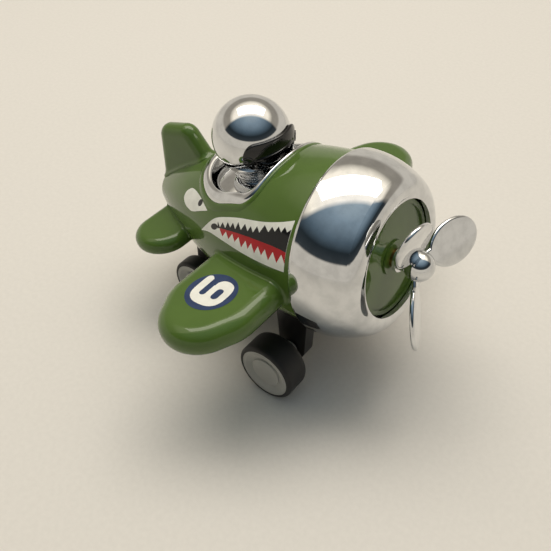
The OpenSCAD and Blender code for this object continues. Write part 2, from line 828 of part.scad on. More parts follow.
module rear_axle() {
    reach = rear_half - 2.4;
    color(steel) translate([rear_x, 0, rear_tyre_r]) rod_y(axle_r, -reach, reach);
}

module axle_gear() {
    color(grey) translate([rear_x, 0, rear_tyre_r]) difference() {
        union() {
            gear(axle_teeth, idler_angle, row_a - gear_w / 2, row_a + gear_w / 2);
            rod_y(2, row_a, frame_half - 0.35);
        }
        rod_y(axle_r, -frame_half, frame_half);
    }
}

module idler_shaft() {
    color(steel) translate([idler_c[0], 0, idler_c[1]])
        rod_y(pin_r, -frame_half - frame_t, frame_half + frame_t);
}

module idler_gear() {
    color(brass) translate([idler_c[0], 0, idler_c[1]]) difference() {
        union() {
            gear(pinion_teeth, 180 + idler_angle + 180 / pinion_teeth, row_b, row_a + gear_w / 2 + 0.4);
            gear(idler_teeth, flywheel_angle, row_b - gear_w / 2, row_b + gear_w / 2);
            rod_y(1.05, 0.35 - frame_half, frame_half - 0.35);
        }
        rod_y(pin_r, -frame_half, frame_half);
    }
}

module flywheel_shaft() {
    color(steel) translate([flywheel_c[0], 0, flywheel_c[1]])
        rod_y(pin_r, -frame_half - frame_t, frame_half + frame_t);
}

module flywheel_pinion() {
    color(brass) translate([flywheel_c[0], 0, flywheel_c[1]]) difference() {
        union() {
            gear(pinion_teeth, 180 + flywheel_angle + 180 / pinion_teeth, flywheel_face, row_b + gear_w / 2 + 0.4);
            rod_y(1.05, row_b, frame_half - 0.35);
        }
        rod_y(pin_r, -frame_half, frame_half);
    }
}

module flywheel() {
    color(steel) translate([flywheel_c[0], 0, flywheel_c[1]]) revolve_y() difference() {
        translate([0, flywheel_face - flywheel_w]) square([flywheel_r, flywheel_w]);
        translate([-1, flywheel_face - flywheel_w - 1]) square([pin_r + 1, flywheel_w + 2]);
        // Both faces are hollowed between the hub and the rim
        translate([2.2, flywheel_face - 0.8]) square([flywheel_r - 3.4, 2]);
        translate([2.2, flywheel_face - flywheel_w - 1.2]) square([flywheel_r - 3.4, 2]);
    }
}

// Tyre drawn as (radius, distance out from its inner face)
module tyre_view(r, w) {
    band = r * band_share;
    seat = r * (1 - band_share);
    in_round = 2.2;
    out_round = 1;
    difference() {
        union() {
            translate([seat - 1.6, in_round]) square([band + 1.6, w - in_round - out_round]);
            translate([r - in_round, in_round]) circle(r = in_round);
            translate([seat - 1.6, 0]) square([r - in_round - seat + 1.6, w]);
            translate([r - out_round, w - out_round]) circle(r = out_round);
            translate([r - in_round, w - 2 * out_round]) square([in_round - out_round, 2 * out_round]);
        }
        // Seat of the hub's barrel and of its face
        translate([0, -1]) square([seat - 0.8, w + 2]);
        translate([0, w - 1.2]) square([seat, 2]);
    }
}

// Hub drawn as (radius, distance out from the tyre's inner face)
module hub_view(r, w, boss) {
    seat = r * (1 - band_share);
    difference() {
        union() {
            translate([0, 1]) square([seat - 0.8, w - 1.1]);
            translate([0, w - 1.2]) square([seat, 1.1]);
            translate([0, -boss]) square([2.2, boss + 2]);
        }
        // The face is dished round a flat middle
        polygon([[seat * 0.9, w], [seat * 0.64, w - 0.9], [seat * 0.6, w - 0.9], [seat * 0.58, w - 0.45],
            [0, w - 0.45], [0, w + 1], [seat * 0.9, w + 1]]);
        // Blind bore for the axle
        translate([0, -boss - 1]) square([axle_r, boss + 1 + w - 2.4]);
        // Hollow behind the face
        translate([3.6, 0]) square([max(0.5, seat - 0.8 - 1.2 - 3.6), w - 2.2]);
    }
}

// Puts a wheel piece, drawn with its inner face at 0, on one side
module on_side(side, x, z, half, w) {
    translate([x, 0, z]) mirror([0, side < 0 ? 1 : 0, 0]) translate([0, half - w, 0]) revolve_y() children();
}

module front_tyre(side) {
    color(black) on_side(side, front_x, front_tyre_r, front_half, front_tyre_w)
        tyre_view(front_tyre_r, front_tyre_w);
}

module rear_tyre(side) {
    color(black) on_side(side, rear_x, rear_tyre_r, rear_half, rear_tyre_w)
        tyre_view(rear_tyre_r, rear_tyre_w);
}

module front_hub(side) {
    color(grey) on_side(side, front_x, front_tyre_r, front_half, front_tyre_w)
        hub_view(front_tyre_r, front_tyre_w, front_half - front_tyre_w - leg_half - wheel_play);
}

module rear_hub(side) {
    color(grey) on_side(side, rear_x, rear_tyre_r, rear_half, rear_tyre_w)
        hub_view(rear_tyre_r, rear_tyre_w, rear_half - rear_tyre_w - box_half - wheel_play);
}

module tyre_front_left() { front_tyre(1); }
module tyre_front_right() { front_tyre(-1); }
module hub_front_left() { front_hub(1); }
module hub_front_right() { front_hub(-1); }
module tyre_rear_left() { rear_tyre(1); }
module tyre_rear_right() { rear_tyre(-1); }
module hub_rear_left() { rear_hub(1); }
module hub_rear_right() { rear_hub(-1); }

fuselage_shell();
wing();
tailplane();
cowl_ring();
nose_disc();
prop_bush();
prop_shaft();
shaft_clip();
thrust_washer();
propeller();
spinner_cap();
cockpit_tub();
pilot_bust();
pilot_helmet();
pilot_visor();
visor_pivots();
chassis_base();
base_screws();
motor_frame();
front_axle();
axle_gear();
tyre_front_left();
tyre_front_right();
hub_front_left();
hub_front_right();
rear_axle();
tyre_rear_left();
tyre_rear_right();
hub_rear_left();
hub_rear_right();
idler_shaft();
idler_gear();
flywheel_shaft();
flywheel_pinion();
flywheel();
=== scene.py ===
# Push-and-go toy airplane: lacquered green body, plated cowl, pilot and propeller, black base.
# Sizes are in millimetres, and MM turns them to metres. Hull frame: origin at the centre of the
# firewall, X along the thrust line, Y to the pilot's left, Z up.
import math
import bpy
from mathutils import Matrix, Vector
from mathutils.geometry import delaunay_2d_cdt


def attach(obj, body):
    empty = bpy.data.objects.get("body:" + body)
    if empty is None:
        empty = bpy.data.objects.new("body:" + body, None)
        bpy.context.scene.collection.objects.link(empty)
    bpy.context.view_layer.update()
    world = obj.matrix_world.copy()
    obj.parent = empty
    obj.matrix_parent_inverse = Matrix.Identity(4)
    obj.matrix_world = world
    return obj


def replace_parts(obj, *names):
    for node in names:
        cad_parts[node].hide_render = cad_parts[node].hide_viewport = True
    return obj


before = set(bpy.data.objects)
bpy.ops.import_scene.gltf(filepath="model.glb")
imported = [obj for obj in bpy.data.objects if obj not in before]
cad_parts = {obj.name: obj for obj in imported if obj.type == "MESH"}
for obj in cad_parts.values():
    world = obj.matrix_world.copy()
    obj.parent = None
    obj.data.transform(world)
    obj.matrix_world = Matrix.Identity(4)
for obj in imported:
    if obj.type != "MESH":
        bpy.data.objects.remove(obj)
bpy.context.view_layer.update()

MM = 0.001

# Sizes of the fuselage, as in the part's source
PITCH = math.radians(10)
FIREWALL = Vector((17.9, 0, 39.1))
SHELL_R = 23.6
SHELL_ARC = 122.0
ARC_DROP = SHELL_ARC - SHELL_R
TAIL_STATION = 60.0
TAIL_R = SHELL_ARC - math.hypot(TAIL_STATION, ARC_DROP)
TAIL_BALL_FROM = -62.6


# Places in the hull frame
def tilted(x, y, z):
    """A vector of the hull frame, in the world frame."""
    c, s = math.cos(PITCH), math.sin(PITCH)
    return Vector((x * c - z * s, y, x * s + z * c))


def from_hull(x, y, z):
    """A point of the hull frame, in metres of the world frame."""
    return (FIREWALL + tilted(x, y, z)) * MM


def turned(x, y, z):
    """A direction of the hull frame, in the world frame."""
    return tilted(x, y, z).normalized()


def hull_radius(x):
    """Radius of the fuselage at a station of the thrust line."""
    return math.sqrt(SHELL_ARC ** 2 - x * x) - ARC_DROP


def skin_reach(x, beside):
    """Distance of the skin from a plane through the thrust line, at a point of that plane."""
    return math.sqrt(hull_radius(x) ** 2 - beside * beside)


def skin_facing(x, y, z):
    """Outward direction of the skin at a point on it."""
    r = math.hypot(y, z)
    return turned(x / math.sqrt(SHELL_ARC ** 2 - x * x), y / r, z / r)


def above_skin(p):
    """Height of a point over the skin, which ends in a ball at the tail."""
    if p.x < TAIL_BALL_FROM:
        return (p - Vector((-TAIL_STATION, 0, 0))).length - TAIL_R
    return math.hypot(p.y, p.z) - hull_radius(p.x)


# Materials
def srgb(code):
    """A colour written as a hex code, as the linear values that shaders take."""
    parts = [int(code[i:i + 2], 16) / 255 for i in (1, 3, 5)]
    return [p / 12.92 if p <= 0.04045 else ((p + 0.055) / 1.055) ** 2.4 for p in parts] + [1.0]


def repeats(size):
    """Scale of a noise whose patches are so many millimetres wide."""
    return 1 / (size * MM)


def fill(tree, node, inputs):
    """Sets inputs of a node to values, or links outputs to them."""
    for key, value in inputs.items():
        if isinstance(value, bpy.types.NodeSocket):
            tree.links.new(value, node.inputs[key])
        else:
            node.inputs[key].default_value = value


def add(tree, kind, inputs=None, stops=(), **settings):
    """Adds a node with its settings and inputs. stops are a colour ramp's (place, hex code)."""
    made = tree.nodes.new(kind)
    for key, value in settings.items():
        setattr(made, key, value)
    fill(tree, made, inputs or {})
    if stops:
        stairs = made.color_ramp.elements
        while len(stairs) < len(stops):
            stairs.new(0.5)
        for stair, (place, tone) in zip(stairs, stops):
            stair.position = place
            stair.color = srgb(tone)
    return made


def start(name, **finish):
    """A new material with its Principled shader, whose even finish is set on its own sockets, and
    the place on the object that its patterns follow."""
    made = bpy.data.materials.new(name)
    made.use_nodes = True
    tree = made.node_tree
    shader = tree.nodes["Principled BSDF"]
    fill(tree, shader, {key.replace("_", " "): value for key, value in finish.items()})
    where = add(tree, "ShaderNodeTexCoord").outputs["Object"]
    return made, tree, shader, where


def lacquered(name, deep, pale):
    """Baked gloss lacquer, sprayed over a smooth casting. A clear top coat mirrors the lamps, and
    orange peel of about 2 mm makes the edges of the mirrored shapes waver a little. The colour
    clouds over about 11 mm."""
    made, tree, shader, where = start(name, Roughness=0.45, IOR=1.45, Specular_IOR_Level=0.06,
                                      Coat_Weight=1.0, Coat_Roughness=0.03, Coat_IOR=1.42)
    cloud = add(tree, "ShaderNodeTexNoise", {"Vector": where, "Scale": repeats(11.11), "Detail": 3.0})
    tone = add(tree, "ShaderNodeValToRGB", {"Fac": cloud.outputs["Fac"]}, [(0.3, deep), (0.7, pale)])
    peel = add(tree, "ShaderNodeTexNoise", {"Vector": where, "Scale": repeats(2.083), "Detail": 2.0})
    bump = add(tree, "ShaderNodeBump",
               {"Height": peel.outputs["Fac"], "Strength": 0.02, "Distance": 0.12 * MM})
    fill(tree, shader, {"Base Color": tone.outputs["Color"], "Normal": bump.outputs["Normal"],
                        "Coat Normal": bump.outputs["Normal"]})
    return made


def plated(name, bright, dull, haze):
    """Vacuum chrome plating on moulded ABS. It is a near mirror whose reflections swim a little
    where the moulding sank over about 14 mm, with faint wiping haze of about 3 mm."""
    made, tree, shader, where = start(name, Metallic=1.0)
    wipe = add(tree, "ShaderNodeTexNoise", {"Vector": where, "Scale": repeats(3.03), "Detail": 4.0})
    tone = add(tree, "ShaderNodeValToRGB", {"Fac": wipe.outputs["Fac"]}, [(0.35, dull), (0.6, bright)])
    rough = add(tree, "ShaderNodeMapRange",
                {"Value": wipe.outputs["Fac"], "To Min": haze + 0.035, "To Max": haze})
    sink = add(tree, "ShaderNodeTexNoise", {"Vector": where, "Scale": repeats(14.29), "Detail": 1.0})
    bump = add(tree, "ShaderNodeBump",
               {"Height": sink.outputs["Fac"], "Strength": 0.05, "Distance": 0.4 * MM})
    fill(tree, shader, {"Base Color": tone.outputs["Color"], "Roughness": rough.outputs["Result"],
                        "Normal": bump.outputs["Normal"]})
    return made


def moulded(name, deep, pale, gloss, grain=0.714, depth=0.03, strength=0.35):
    """Injection-moulded plastic. Its spark-eroded grain breaks the highlight into a soft patch. It is
    drawn about 0.7 mm wide so that it shows, and wider on the glossy visor. The tone clouds over
    about 6 mm."""
    made, tree, shader, where = start(name, IOR=1.53)
    cloud = add(tree, "ShaderNodeTexNoise", {"Vector": where, "Scale": repeats(6.25), "Detail": 5.0})
    tone = add(tree, "ShaderNodeValToRGB", {"Fac": cloud.outputs["Fac"]}, [(0.3, deep), (0.7, pale)])
    rough = add(tree, "ShaderNodeMapRange",
                {"Value": cloud.outputs["Fac"], "To Min": gloss - 0.04, "To Max": gloss + 0.06})
    skin = add(tree, "ShaderNodeTexNoise", {"Vector": where, "Scale": repeats(grain), "Detail": 2.0})
    bump = add(tree, "ShaderNodeBump",
               {"Height": skin.outputs["Fac"], "Strength": strength, "Distance": depth * MM})
    fill(tree, shader, {"Base Color": tone.outputs["Color"], "Roughness": rough.outputs["Result"],
                        "Normal": bump.outputs["Normal"]})
    return made


def vulcanised(name, deep, dusty):
    """Soft rubber tyre. It is nearly matt, with pores of about 1 mm and pale dust in patches of
    about 4 mm."""
    made, tree, shader, where = start(name, IOR=1.5, Sheen_Weight=0.05, Sheen_Roughness=0.5)
    dust = add(tree, "ShaderNodeTexNoise",
               {"Vector": where, "Scale": repeats(4.167), "Detail": 6.0, "Roughness": 0.6})
    tone = add(tree, "ShaderNodeValToRGB", {"Fac": dust.outputs["Fac"]}, [(0.4, deep), (0.75, dusty)])
    rough = add(tree, "ShaderNodeMapRange", {"Value": dust.outputs["Fac"], "To Min": 0.5, "To Max": 0.72})
    pores = add(tree, "ShaderNodeTexNoise", {"Vector": where, "Scale": repeats(0.909), "Detail": 3.0})
    bump = add(tree, "ShaderNodeBump",
               {"Height": pores.outputs["Fac"], "Strength": 0.4, "Distance": 0.05 * MM})
    fill(tree, shader, {"Base Color": tone.outputs["Color"], "Roughness": rough.outputs["Result"],
                        "Normal": bump.outputs["Normal"]})
    return made


def turned_metal(name, colour, worn, roughness, lines):
    """Bright metal, drawn or turned. lines are the widths of its tool lines along X, Y and Z. They
    are drawn about 1 mm wide so that they show, and stretch the highlight."""
    made, tree, shader, where = start(name, Metallic=1.0)
    drawn = add(tree, "ShaderNodeMapping", {"Vector": where, "Scale": [repeats(width) for width in lines]})
    marks = add(tree, "ShaderNodeTexNoise", {"Vector": drawn.outputs["Vector"], "Scale": 1.0, "Detail": 3.0})
    tone = add(tree, "ShaderNodeValToRGB", {"Fac": marks.outputs["Fac"]}, [(0.3, worn), (0.65, colour)])
    rough = add(tree, "ShaderNodeMapRange",
                {"Value": marks.outputs["Fac"], "To Min": roughness + 0.1, "To Max": roughness})
    bump = add(tree, "ShaderNodeBump",
               {"Height": marks.outputs["Fac"], "Strength": 0.2, "Distance": 0.02 * MM})
    fill(tree, shader, {"Base Color": tone.outputs["Color"], "Roughness": rough.outputs["Result"],
                        "Normal": bump.outputs["Normal"]})
    return made


def printed(name, deep, pale):
    """Pad-printed enamel ink under the clear coat. It is flat in colour, laid down a little
    unevenly over about 3 mm, and shines as the lacquer round it does."""
    made, tree, shader, where = start(name, Roughness=0.5, IOR=1.45, Specular_IOR_Level=0.06,
                                      Coat_Weight=0.9, Coat_Roughness=0.05, Coat_IOR=1.4)
    lay = add(tree, "ShaderNodeTexNoise", {"Vector": where, "Scale": repeats(2.857), "Detail": 4.0})
    tone = add(tree, "ShaderNodeValToRGB", {"Fac": lay.outputs["Fac"]}, [(0.35, deep), (0.6, pale)])
    bump = add(tree, "ShaderNodeBump",
               {"Height": lay.outputs["Fac"], "Strength": 0.05, "Distance": 0.05 * MM})
    fill(tree, shader, {"Base Color": tone.outputs["Color"], "Normal": bump.outputs["Normal"]})
    return made


GREEN = lacquered("green_enamel_lacquer", "#486126", "#4F692B")
CHROME = plated("chrome_plated_abs", "#DCDDDE", "#CFD0D1", 0.03)
BLACK = moulded("black_abs_moulded", "#0C0C0D", "#131314", 0.3)
VISOR = moulded("black_gloss_abs", "#050506", "#0A0A0B", 0.06, grain=1.667, depth=0.01, strength=0.1)
RUBBER = vulcanised("black_rubber_tyre", "#0B0B0C", "#171615")
GREY = moulded("grey_abs_moulded", "#999994", "#A6A6A1", 0.34)
ACETAL = moulded("grey_acetal_gear", "#8D8D88", "#9A9A95", 0.38)
STEEL = turned_metal("steel_bright_drawn", "#B4B7BA", "#8E9195", 0.2, (1.111, 16.67, 1.111))
SCREW = turned_metal("steel_zinc_plated", "#A9ACAD", "#878A8C", 0.3, (1.429, 1.429, 16.67))
BRASS = turned_metal("brass_turned", "#8E7440", "#6B552C", 0.28, (16.67, 1.111, 1.111))
WHITE_INK = printed("white_enamel_print", "#DFDFD6", "#E9E9E0")
BLACK_INK = printed("black_enamel_print", "#0C0C0E", "#131316")
RED_INK = printed("red_enamel_print", "#A8000C", "#B40412")
NAVY_INK = printed("navy_enamel_print", "#28385A", "#2F4062")

FINISHES = {
    "fuselage_shell": GREEN, "wing": GREEN, "tailplane": GREEN, "nose_disc": GREEN,
    "cowl_ring": CHROME, "propeller": CHROME, "spinner_cap": CHROME, "thrust_washer": CHROME,
    "cockpit_tub": CHROME, "pilot_bust": CHROME, "pilot_helmet": CHROME,
    "pilot_visor": VISOR, "visor_pivots": VISOR,
    "chassis_base": BLACK, "base_screws": SCREW, "motor_frame": STEEL,
    "prop_bush": BRASS, "prop_shaft": STEEL, "shaft_clip": STEEL,
    "front_axle": STEEL, "rear_axle": STEEL, "axle_gear": ACETAL,
    "idler_shaft": STEEL, "idler_gear": ACETAL, "flywheel_shaft": STEEL,
    "flywheel_pinion": ACETAL, "flywheel": SCREW,
}
for wheel in ("front_left", "front_right", "rear_left", "rear_right"):
    FINISHES["tyre_" + wheel] = RUBBER
    FINISHES["hub_" + wheel] = GREY
for node, finish in FINISHES.items():
    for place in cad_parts[node].material_slots:
        place.material = finish

# Mesh helpers
CREASE = math.radians(40)


def outward(points, faces, normals):
    """Turns every face to the side of its given normals or, for a closed solid, away from its
    inside."""
    if normals:
        facing = []
        for face in faces:
            a, b, c = (points[face[k * len(face) // 3]] for k in range(3))
            along = sum((normals[k] for k in face), Vector())
            facing.append(face if (b - a).cross(c - a).dot(along) >= 0 else tuple(reversed(face)))
        return facing
    volume = sum(points[face[0]].dot(points[face[k]].cross(points[face[k + 1]]))
                 for face in faces for k in range(1, len(face) - 1))
    return faces if volume > 0 else [tuple(reversed(face)) for face in faces]


def piece(name, points, faces, finishes, normals=None, inks=None):
    """A mesh piece from points in metres, with its finishes and, where known, exact normals. inks
    gives the number of each face's finish."""
    faces = outward(points, faces, normals)
    data = bpy.data.meshes.new(name)
    data.from_pydata([tuple(p) for p in points], [], faces)
    data.update()
    for finish in finishes:
        data.materials.append(finish)
    for index, face in enumerate(data.polygons):
        face.use_smooth = True
        if inks:
            face.material_index = inks[index]
    if normals:
        data.normals_split_custom_set_from_vertices([tuple(n) for n in normals])
    else:
        data.set_sharp_from_angle(angle=CREASE)
    made = bpy.data.objects.new(name, data)
    bpy.context.scene.collection.objects.link(made)
    return made


def belt(rows, columns, closed=True):
    """Quads between rows of points, each row closed on itself or open."""
    faces = []
    for i in range(rows - 1):
        for j in range(columns if closed else columns - 1):
            low, high = i * columns, (i + 1) * columns
            k = (j + 1) % columns
            faces.append((low + j, low + k, high + k, high + j))
    return faces


def ends(rows, columns):
    """The two faces that close a belt."""
    last = (rows - 1) * columns
    return [tuple(reversed(range(columns))), tuple(range(last, last + columns))]


def lining(rows, columns):
    """Quads from the last row of a belt back to its first, which make a ring of it."""
    last = (rows - 1) * columns
    return [(last + k, last + (k + 1) % columns, (k + 1) % columns, k) for k in range(columns)]


def between(p, q, share):
    """The point that lies a share of the way from p to q."""
    return tuple(a + (b - a) * share for a, b in zip(p, q))


def disc_row(discs, step=3.0):
    """Outline round discs (centre x, centre y, radius) that stretch one skin over them, as pairs of
    disc and outward direction, one for each step of degrees. Straight runs come out as two pairs
    with one direction."""
    tries = 8
    count = int(360 / step) * tries
    out = []
    last = None
    for i in range(count + 1):
        a = math.tau * i / count
        n = (math.cos(a), math.sin(a))
        best = max(discs, key=lambda d: d[0] * n[0] + d[1] * n[1] + d[2])
        if last is not None and best is not last:
            out += [(last, n), (best, n)]
        elif i % tries == 0 and i < count:
            out.append((best, n))
        last = best
    return out


def finer(row, parts):
    """The same outline with more places along its straight runs, so that it can bend."""
    full = []
    for here, ahead in zip(row, row[1:] + row[:1]):
        full.append(here)
        if here[0] is not ahead[0]:
            full += [(between(here[0], ahead[0], k / parts), here[1]) for k in range(1, parts)]
    return full


def quarter_turn(steps):
    """Angles from 0 to a quarter turn, in radians."""
    return [math.pi / 2 * k / steps for k in range(steps + 1)]


def soft_slab(discs, thick, edge, steps=10):
    """A flat slab with a rounded rim over the outline of discs, with exact normals."""
    row = disc_row(discs)
    wall = thick / 2 - edge
    turns = quarter_turn(steps)
    rings = [(phi - math.pi / 2, -wall) for phi in turns] + [(phi, wall) for phi in turns]
    points, normals = [], []
    for phi, level in rings:
        for (cx, cy, r), (nx, ny) in row:
            reach = r - edge + edge * math.cos(phi)
            points.append(Vector((cx + nx * reach, cy + ny * reach, level + edge * math.sin(phi))))
            normals.append(Vector((nx * math.cos(phi), ny * math.cos(phi), math.sin(phi))))
    return points, normals, belt(len(rings), len(row)) + ends(len(rings), len(row))


def plate(row, thick, edge, crown=0.0, rings=12, steps=8):
    """A closed plate over an outline, with a rounded rim and faces that crown by a little. It lies in
    its own (u, v) plane, and its faces are laid in rings so that they can bend."""
    inner = [(cx + nx * (r - edge), cy + ny * (r - edge)) for (cx, cy, r), (nx, ny) in row]
    mid_u = sum(u for u, v in inner) / len(inner)
    mid_v = sum(v for u, v in inner) / len(inner)
    wall = thick / 2 - edge

    def face_ring(k, side):
        """Ring k of a face, counted from its middle."""
        f = (k + 0.5) / rings
        rise = side * (thick / 2 + crown * (1 - f * f))
        return [Vector((mid_u + (u - mid_u) * f, mid_v + (v - mid_v) * f, rise)) for u, v in inner]

    def rim_ring(phi, side):
        """The ring of the rounded rim whose direction rises by phi."""
        back = edge * (1 - math.cos(phi))
        rise = side * wall + edge * math.sin(phi)
        return [Vector((cx + nx * (r - back), cy + ny * (r - back), rise)) for (cx, cy, r), (nx, ny) in row]

    turns = quarter_turn(steps)
    rows = [face_ring(k, -1) for k in range(rings)]
    rows += [rim_ring(phi - math.pi / 2, -1) for phi in turns]
    rows += [rim_ring(phi, 1) for phi in (turns[1:] if wall < 0.001 else turns)]
    rows += [face_ring(k, 1) for k in reversed(range(rings))]
    faces = belt(len(rows), len(row)) + ends(len(rows), len(row))
    return [p for ring in rows for p in ring], faces


def spun(profile, place, bored=False, count=96):
    """A solid turned from a profile of (along, radius), closed at both ends or round a bore."""
    turns = [math.tau * k / count for k in range(count)]
    points = [place(h, r * math.cos(a), r * math.sin(a)) for h, r in profile for a in turns]
    close = lining if bored else ends
    return points, belt(len(profile), count) + close(len(profile), count)


# Wing and tailplane. ROUNDING is the share of a surface's half thickness that its rim is rounded by
WING_STATION, WING_Z, WING_T, WING_CHORD = 15.6, -2.7, 8.0, 26.5
WING_HALF, WING_TAPER, WING_TIP_R, WING_ROOT_R = 50.6, 15.6, 11.2, 0.9
STAB_STATION, STAB_Z, STAB_T, STAB_CHORD = 53.5, -4.4, 5.4, 17.0
STAB_HALF, STAB_ROOT_R = 25.0, 0.7
ROUNDING = 0.96
POSTS = [(3.8, 11), (3.8, -11), (-3.93, 0)]
POST_R, POST_FOOT, POST_TOP = 2.3, 22, 30
SUNK = 0.02


def flying_surface(name, node, station, level, discs, thick, posts=()):
    """A smooth slab through the fuselage that stands for a CAD surface of the same sizes. posts are
    the places of the screw posts under it, in the world frame."""
    points, normals, faces = soft_slab(discs, thick, thick / 2 * ROUNDING)
    placed = [from_hull(p.x - station, p.y, p.z + level) for p in points]
    facing = [turned(*n) for n in normals]
    sides = 24
    for x, y in posts:
        first = len(placed)
        for z in (POST_FOOT, POST_TOP):
            for k in range(sides):
                out = Vector((math.cos(math.tau * k / sides), math.sin(math.tau * k / sides), 0))
                placed.append((Vector((x, y, z)) + out * POST_R) * MM)
                facing.append(out)
        faces += [tuple(first + v for v in face) for face in belt(2, sides)]
        faces.append(tuple(first + v for v in reversed(range(sides))))
    made = piece(name, placed, faces, [GREEN], facing)
    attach(made, "airframe")
    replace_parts(made, node)


def slab_outline(chord, thick, count=72, parts=24):
    """Side view of a flying surface, as (x, z, outward x, outward z). Its flat top and bottom have
    points too, so that the fillet follows the curve of the fuselage."""
    edge = thick / 2 * ROUNDING
    corners = []
    for i in range(count):
        nx, nz = math.cos(math.tau * i / count), math.sin(math.tau * i / count)
        corners.append((math.copysign(chord / 2 - edge, nx) + nx * edge,
                        math.copysign(thick / 2 - edge, nz) + nz * edge, nx, nz))
    full = []
    for here, ahead in zip(corners, corners[1:] + corners[:1]):
        full.append(here)
        run = ahead[0] - here[0]
        if abs(run) > edge:
            up = math.copysign(1, here[3])
            full += [(here[0] + run * k / parts, up * thick / 2, 0, up) for k in range(1, parts)]
    return full


def root_fillet(name, station, level, chord, thick, radius, side, whole=True):
    """The small radius in the casting where a flying surface leaves the fuselage, all round it or
    over its top. Its edges lie SUNK deep in what they join."""
    outline = slab_outline(chord, thick)
    if not whole:
        outline = [o for o in outline if o[3] >= -0.01]
    turns = quarter_turn(8)
    points, normals = [], []
    for k, phi in enumerate(turns):
        share = k / (len(turns) - 1)
        off = radius * (1 - math.cos(phi)) - SUNK * (1 - share)
        for x, z, nx, nz in outline:
            hx, hz = x - station + nx * off, z + level + nz * off
            out = skin_reach(hx, hz) + radius * (1 - math.sin(phi)) - SUNK * share
            points.append(from_hull(hx, side * out, hz))
            normals.append(turned(nx * math.cos(phi), side * math.sin(phi), nz * math.cos(phi)))
    made = piece(name, points, belt(len(turns), len(outline), whole), [GREEN], normals)
    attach(made, "airframe")


wing_tip = ((WING_HALF - WING_TAPER, WING_CHORD / 2), (WING_HALF - WING_TIP_R, WING_TIP_R))
wing_discs = [(0, s * y, r) for s in (-1, 1) for y, r in wing_tip]
stab_discs = [(0, s * (STAB_HALF - STAB_CHORD / 2), STAB_CHORD / 2) for s in (-1, 1)]
flying_surface("wing_skin", "wing", WING_STATION, WING_Z, wing_discs, WING_T, POSTS)
flying_surface("tailplane_skin", "tailplane", STAB_STATION, STAB_Z, stab_discs, STAB_T)
for side, word in ((1, "left"), (-1, "right")):
    root_fillet("wing_root_" + word, WING_STATION, WING_Z, WING_CHORD, WING_T, WING_ROOT_R, side)
    root_fillet("tailplane_root_" + word, STAB_STATION, STAB_Z, STAB_CHORD, STAB_T, STAB_ROOT_R, side, False)

# Fin. Its corners are places of the hull frame (x, z)
FIN_CORNERS = [(-52, 19.4), (-58.4, 18.4), (-61.4, 3), (-46, 10.5)]
FIN_CORNER_R, FIN_T, FIN_EDGE = 4.06, 5.52, 2.7
FIN_ROOT_R, FIN_MIN_RISE, FIN_MID, FIN_NOSE_SHARE = 1.6, 0.2, -50, 0.8


def fin():
    """The fin, which is cast with the fuselage and leaves it in a fillet. The fillet also runs out
    in front, by FIN_NOSE_SHARE of its width."""
    outline = disc_row([(x, z, FIN_CORNER_R) for x, z in FIN_CORNERS])
    points, faces = plate(finer(outline, 36), FIN_T, FIN_EDGE, rings=40)
    placed = []
    for p in points:
        p = Vector((p.x, p.z, p.y))
        rise = max(above_skin(p), FIN_MIN_RISE)
        if rise < FIN_ROOT_R:
            flare = FIN_ROOT_R - math.sqrt(FIN_ROOT_R ** 2 - (FIN_ROOT_R - rise) ** 2)
            p.y += math.copysign(flare, p.y)
            if abs(p.y) < FIN_EDGE and p.x > FIN_MID:
                p.x += flare * FIN_NOSE_SHARE
        placed.append(from_hull(*p))
    made = piece("fin_skin", placed, faces, [GREEN])
    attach(made, "airframe")


fin()

# Cockpit. Its outline is made of arcs (centre x, centre y, radius, first and last angle, parts)
COCKPIT_ARCS = [(-56.6, 0, 43.0, -16.67, 16.67, 20), (-20.2, 10.9, 5.0, 16.67, 90, 18),
                (-26.1, 0, 15.8, 90, 270, 60), (-20.2, -10.9, 5.0, 270, 343.33, 18)]
COCKPIT_X, COCKPIT_R = -26.0, 15.0
TUB_FLOOR, TUB_WALL, TUB_SIDE_WALL, TUB_COVE, TUB_DRAFT, TO_MIDDLE = 8.5, 1.0, 0.8, 1.0, 0.15, 0.02
RIM_W, RIM_W_FRONT, RIM_FOOT, RIM_RISE, RIM_FALL = 2.65, 1.6, -0.15, 0.95, 0.5
COLLAR = [(0.0, -0.5), (0.0, 0.1), (0.15, 0.34), (0.4, 0.46), (0.7, 0.44), (1.0, 0.28), (1.2, 0.08),
          (1.28, -0.08), (1.28, -0.5)]
DECK_LAP, DECK_MIN_W, DECK_FACING, DECK_LIFT, DECK_EDGE_LIFT = 0.6, 0.1, 0.2, 0.035, 0.012


def cockpit_outline(spacing=0.6):
    """Outline of the cockpit seen from above, round behind and nearly straight in front with round
    corners, as (x, y, outward x, outward y)."""
    corners = []
    for cx, cy, r, first, last, parts in COCKPIT_ARCS:
        for k in range(parts + 1):
            a = math.radians(first + (last - first) * k / parts)
            corners.append((cx + r * math.cos(a), cy + r * math.sin(a), math.cos(a), math.sin(a)))
    full = []
    for here, ahead in zip(corners, corners[1:] + corners[:1]):
        parts = round(math.dist(here[:2], ahead[:2]) / spacing)
        full += [between(here, ahead, k / parts) for k in range(parts)]
    return full


OUTLINE = cockpit_outline()


